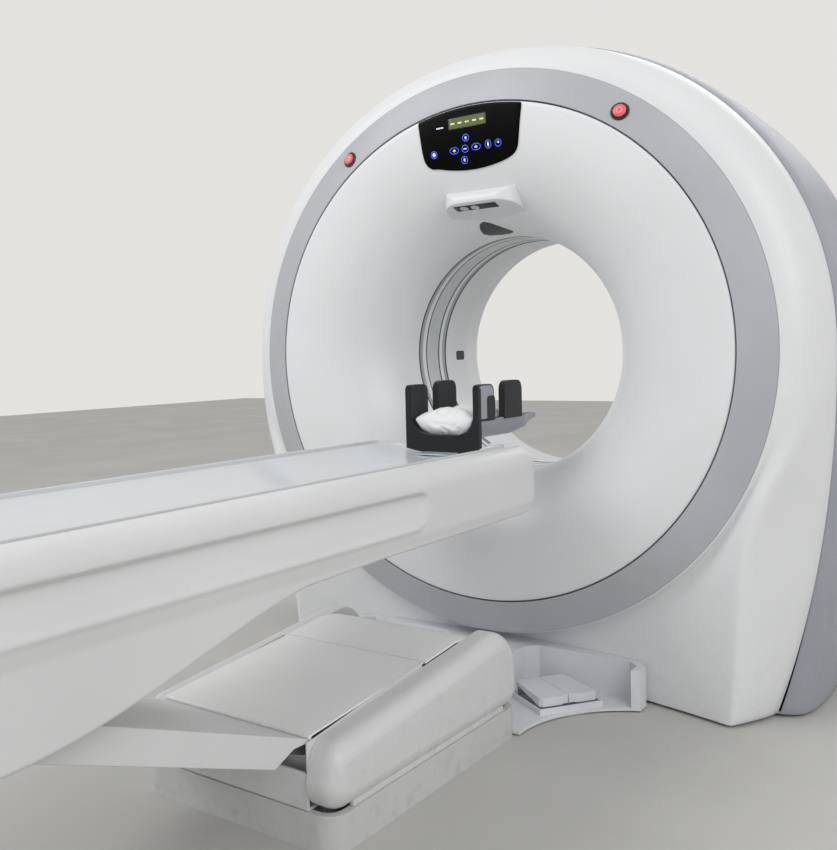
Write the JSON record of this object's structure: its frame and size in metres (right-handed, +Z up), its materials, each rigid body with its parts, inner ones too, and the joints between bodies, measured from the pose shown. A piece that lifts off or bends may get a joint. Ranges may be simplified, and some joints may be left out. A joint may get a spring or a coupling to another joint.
{
  "type": "ct scanner",
  "caption": "Floor-standing ring gantry with a wide patient bore and flared front, and a swing-arm patient table with a sliding cradle and head holder.",
  "frame": {"origin": "on the floor under the isocentre, at the middle of the gantry anchor holes", "axes": "+Z up, +Y from the table into the bore, +X right when facing the gantry"},
  "size_m": [1.812, 3.171, 1.816],
  "materials": {
    "cover_white": "satin moulded cover",
    "trim_grey": "satin moulded trim",
    "cover_grey": "satin moulded cover",
    "table_white": "satin moulded cover, lightly soiled",
    "table_shadow": "satin paint",
    "cradle_white": "satin laminate",
    "tray_grey": "textured plastic",
    "panel_black": "polished",
    "lcd_glass": "lit display behind glass",
    "key_blue": "lit keys",
    "dark_window": "smoked plastic",
    "stop_red": "glossy",
    "black_plastic": "satin",
    "gasket_rubber": "matt",
    "clear_window": "clear polycarbonate",
    "foam_black": "matt foam cover",
    "cotton_white": "crumpled cotton",
    "rubber": "matt",
    "steel": "machined",
    "aluminium": "machined",
    "cast_iron": "cast",
    "brass": "machined",
    "dark_paint": "satin paint",
    "frame_paint": "satin paint",
    "grey_paint": "satin paint",
    "lead_housing": "satin paint",
    "detector_case": "satin paint",
    "board_green": "satin paint"
  },
  "bodies": {
    "base": {"gantry_base": "dark_paint", "levelling_feet": "steel", "stationary_frame": "frame_paint", "bearing_outer_race": "steel", "brush_block": "black_plastic", "drive_motor": "dark_paint", "drive_belt": "rubber", "front_cover": "cover_white", "trim_ring": "trim_grey", "front_housing": "cover_white", "rear_housing": "cover_grey", "rear_cover": "cover_white", "bore_gaskets": "gasket_rubber", "bore_liners": "cover_white", "scan_window": "clear_window", "control_panel": "panel_black", "panel_display": "lcd_glass", "panel_keys": "key_blue", "sensor_housing": "cover_white", "sensor_window": "dark_window", "laser_window": "dark_window", "side_laser_windows": "dark_window", "stop_bezels": "black_plastic", "pedal_tray": "tray_grey", "pedal_pins": "steel", "table_plinth": "table_shadow", "base_band": "table_white", "side_pods": "table_white", "base_top_cover": "table_white", "pivot_pins": "steel", "lift_actuator": "dark_paint"},
    "rotor": {"bearing_balls": "steel", "bearing_inner_race": "steel", "rotor_plate": "aluminium", "xray_tube": "aluminium", "tube_cooler": "aluminium", "collimator": "lead_housing", "hv_generator": "grey_paint", "detector": "detector_case", "data_unit": "board_green", "counterweights": "cast_iron", "slip_ring": "brass"},
    "pulley": {"drive_pulley": "steel"},
    "stop_left": {"stop_button_left": "stop_red"},
    "stop_right": {"stop_button_right": "stop_red"},
    "pedal_raise": {"pedal_up": "tray_grey"},
    "pedal_lower": {"pedal_down": "tray_grey"},
    "flap": {"lift_flap": "table_white"},
    "arm": {"lift_arm": "frame_paint", "lift_arm_cover": "table_white"},
    "link": {"level_link": "steel"},
    "rod": {"actuator_rod": "steel"},
    "table_top": {"table_frame": "aluminium", "table_shell": "table_white", "cradle_rollers": "rubber"},
    "patient_cradle": {"cradle": "cradle_white", "cradle_carriage": "dark_paint", "head_holder": "trim_grey", "holder_foam": "foam_black", "head_pillow": "cotton_white"}
  },
  "joints": [
    {"name": "rotor_spin", "type": "hinge", "parent": "base", "child": "rotor", "pos_m": [0, 0, 0.93], "axis": [0, 1, 0], "continuous": true},
    {"name": "pulley_spin", "type": "hinge", "parent": "base", "child": "pulley", "pos_m": [0.64, 0.087, 0.262], "axis": [0, 1, 0], "continuous": true},
    {"name": "stop_left_press", "type": "slide", "parent": "base", "child": "stop_left", "axis": [-0.1594, -0.9606, 0.2277], "range_m": [-0.006, 0], "stiffness_N_per_m": 900, "springref_m": 0.003},
    {"name": "stop_right_press", "type": "slide", "parent": "base", "child": "stop_right", "axis": [0.1594, -0.9606, 0.2277], "range_m": [-0.006, 0], "stiffness_N_per_m": 900, "springref_m": 0.003},
    {"name": "pedal_raise_press", "type": "hinge", "parent": "base", "child": "pedal_raise", "pos_m": [0.19811, -0.37865, 0.035], "axis": [0.5592, 0.829, 0], "range_deg": [0, 5], "stiffness_Nm_per_rad": 12, "springref_deg": -6.88},
    {"name": "pedal_lower_press", "type": "hinge", "parent": "base", "child": "pedal_lower", "pos_m": [0.19811, -0.37865, 0.035], "axis": [0.5592, 0.829, 0], "range_deg": [0, 5], "stiffness_Nm_per_rad": 12, "springref_deg": -6.88},
    {"name": "table_lift", "type": "hinge", "parent": "base", "child": "arm", "pos_m": [0, -1.3, 0.159], "axis": [-1, 0, 0], "range_deg": [-5.9, 13.3]},
    {"name": "table_level", "type": "hinge", "parent": "arm", "child": "table_top", "pos_m": [0, -2.22535, 0.49946], "axis": [-1, 0, 0], "range_deg": [-13.3, 5.9]},
    {"name": "link_swing", "type": "hinge", "parent": "base", "child": "link", "pos_m": [0.075, -1.3, 0.135], "axis": [-1, 0, 0], "range_deg": [-5.9, 13.3]},
    {"name": "flap_swing", "type": "hinge", "parent": "base", "child": "flap", "pos_m": [0, -0.965, 0.232], "axis": [-1, 0, 0], "range_deg": [-1.49, 3.33]},
    {"name": "rod_slide", "type": "slide", "parent": "base", "child": "rod", "axis": [0, -1, 0], "range_m": [-0.01132, 0.0254]},
    {"name": "cradle_slide", "type": "slide", "parent": "table_top", "child": "patient_cradle", "axis": [0, 1, 0], "range_m": [0, 1.5]}
  ],
  "couplings": [
    {"joint": "pulley_spin", "follows": "rotor_spin", "ratio": 11.667},
    {"joint": "table_level", "follows": "table_lift", "ratio": -1},
    {"joint": "link_swing", "follows": "table_lift", "ratio": 1},
    {"joint": "flap_swing", "follows": "table_lift", "ratio": 0.25},
    {"joint": "rod_slide", "follows": "table_lift", "m_per_rad": 0.109}
  ]
}
